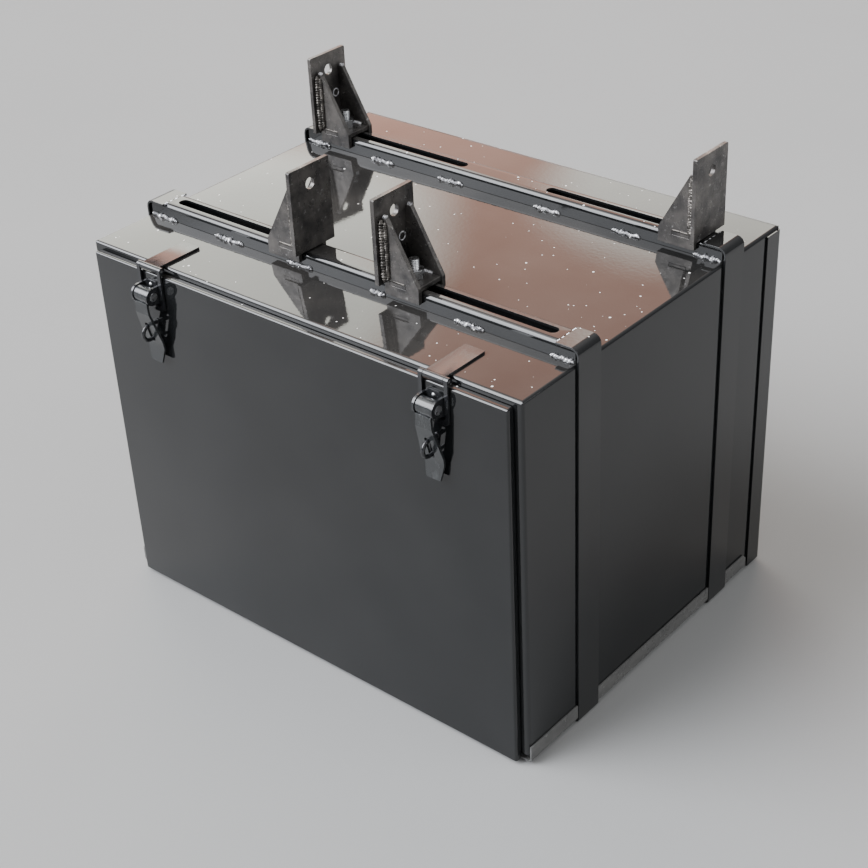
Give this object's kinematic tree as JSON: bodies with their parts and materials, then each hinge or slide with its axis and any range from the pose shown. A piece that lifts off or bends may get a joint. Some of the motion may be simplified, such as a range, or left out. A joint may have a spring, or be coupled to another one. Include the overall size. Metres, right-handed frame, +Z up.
{
  "type": "battery box",
  "caption": "Black steel battery box with a drop-down latched front door, wrap-round straps, slotted top rails and adjustable bolt-on hanging brackets.",
  "frame": {"origin": "centre of the bounding box in plan, on the underside of the two strap hoops", "axes": "+X along the width to the right when facing the door, +Y from the door towards the rear cover, +Z up"},
  "size_m": [0.6056, 0.4942, 0.5585],
  "materials": {
    "black_gloss_paint": "high-gloss black powder coat on folded steel sheet",
    "black_hardware_paint": "gloss black paint on latch and hinge hardware",
    "grey_lever_paint": "satin dark grey paint",
    "mill_scale_steel": "bare hot-rolled steel with dark mottled mill scale",
    "zinc_steel": "bright zinc-plated steel",
    "black_rubber": "matt black rubber"
  },
  "bodies": {
    "box": {"casing_wrap": "black_gloss_paint", "bottom_tray": "black_gloss_paint", "rear_cover": "black_gloss_paint", "cable_grommet_left": "black_rubber", "cable_grommet_right": "black_rubber", "battery_mat": "black_rubber", "hinge_fixed_leaf": "black_hardware_paint", "hinge_pin": "zinc_steel", "front_strap": "black_gloss_paint", "rear_strap": "black_gloss_paint", "front_rail": "black_gloss_paint", "rear_rail": "black_gloss_paint", "hasp_plate_left": "black_hardware_paint", "hasp_plate_right": "black_hardware_paint", "hasp_pin_left": "zinc_steel", "hasp_pin_right": "zinc_steel"},
    "door": {"door_panel": "black_gloss_paint", "door_seal": "black_rubber", "hinge_door_leaf": "black_hardware_paint", "latch_base_left": "black_hardware_paint", "latch_base_right": "black_hardware_paint", "latch_pin_left": "zinc_steel", "latch_pin_right": "zinc_steel", "lock_staple_left": "black_hardware_paint", "lock_staple_right": "black_hardware_paint"},
    "hasp_left": {"hasp_left": "black_hardware_paint"},
    "hasp_right": {"hasp_right": "black_hardware_paint"},
    "lever_left": {"latch_lever_left": "grey_lever_paint"},
    "lever_right": {"latch_lever_right": "grey_lever_paint"},
    "bracket_front_left": {"bracket_front_left_plate": "mill_scale_steel", "bracket_front_left_gusset_front": "mill_scale_steel", "bracket_front_left_gusset_rear": "mill_scale_steel", "bracket_front_left_foot": "mill_scale_steel", "bracket_front_left_stud": "zinc_steel", "bracket_front_left_nut": "zinc_steel"},
    "bracket_front_right": {"bracket_front_right_plate": "mill_scale_steel", "bracket_front_right_gusset_front": "mill_scale_steel", "bracket_front_right_gusset_rear": "mill_scale_steel", "bracket_front_right_foot": "mill_scale_steel", "bracket_front_right_stud": "zinc_steel", "bracket_front_right_nut": "zinc_steel"},
    "bracket_rear_left": {"bracket_rear_left_plate": "mill_scale_steel", "bracket_rear_left_gusset_front": "mill_scale_steel", "bracket_rear_left_gusset_rear": "mill_scale_steel", "bracket_rear_left_foot": "mill_scale_steel", "bracket_rear_left_stud": "zinc_steel", "bracket_rear_left_nut": "zinc_steel"},
    "bracket_rear_right": {"bracket_rear_right_plate": "mill_scale_steel", "bracket_rear_right_gusset_front": "mill_scale_steel", "bracket_rear_right_gusset_rear": "mill_scale_steel", "bracket_rear_right_foot": "mill_scale_steel", "bracket_rear_right_stud": "zinc_steel", "bracket_rear_right_nut": "zinc_steel"}
  },
  "joints": [
    {"name": "door_hinge", "type": "hinge", "parent": "box", "child": "door", "pos_m": [0, -0.21685, 0.0042], "axis": [1, 0, 0], "range_deg": [0, 100]},
    {"name": "hasp_left_hinge", "type": "hinge", "parent": "box", "child": "hasp_left", "pos_m": [-0.197, -0.2219, 0.4443], "axis": [-1, 0, 0], "range_deg": [0, 105]},
    {"name": "hasp_right_hinge", "type": "hinge", "parent": "box", "child": "hasp_right", "pos_m": [0.202, -0.2219, 0.4443], "axis": [-1, 0, 0], "range_deg": [0, 105]},
    {"name": "lever_left_pivot", "type": "hinge", "parent": "door", "child": "lever_left", "pos_m": [-0.197, -0.2338, 0.417], "axis": [-1, 0, 0], "range_deg": [0, 170]},
    {"name": "lever_right_pivot", "type": "hinge", "parent": "door", "child": "lever_right", "pos_m": [0.202, -0.2338, 0.417], "axis": [-1, 0, 0], "range_deg": [0, 170]},
    {"name": "bracket_front_left_slide", "type": "slide", "parent": "box", "child": "bracket_front_left", "axis": [1, 0, 0], "range_m": [-0.169, 0.017]},
    {"name": "bracket_front_right_slide", "type": "slide", "parent": "box", "child": "bracket_front_right", "axis": [1, 0, 0], "range_m": [-0.019, 0.166]},
    {"name": "bracket_rear_left_slide", "type": "slide", "parent": "box", "child": "bracket_rear_left", "axis": [1, 0, 0], "range_m": [-0.004, 0.182]},
    {"name": "bracket_rear_right_slide", "type": "slide", "parent": "box", "child": "bracket_rear_right", "axis": [1, 0, 0], "range_m": [-0.178, 0.008]}
  ]
}
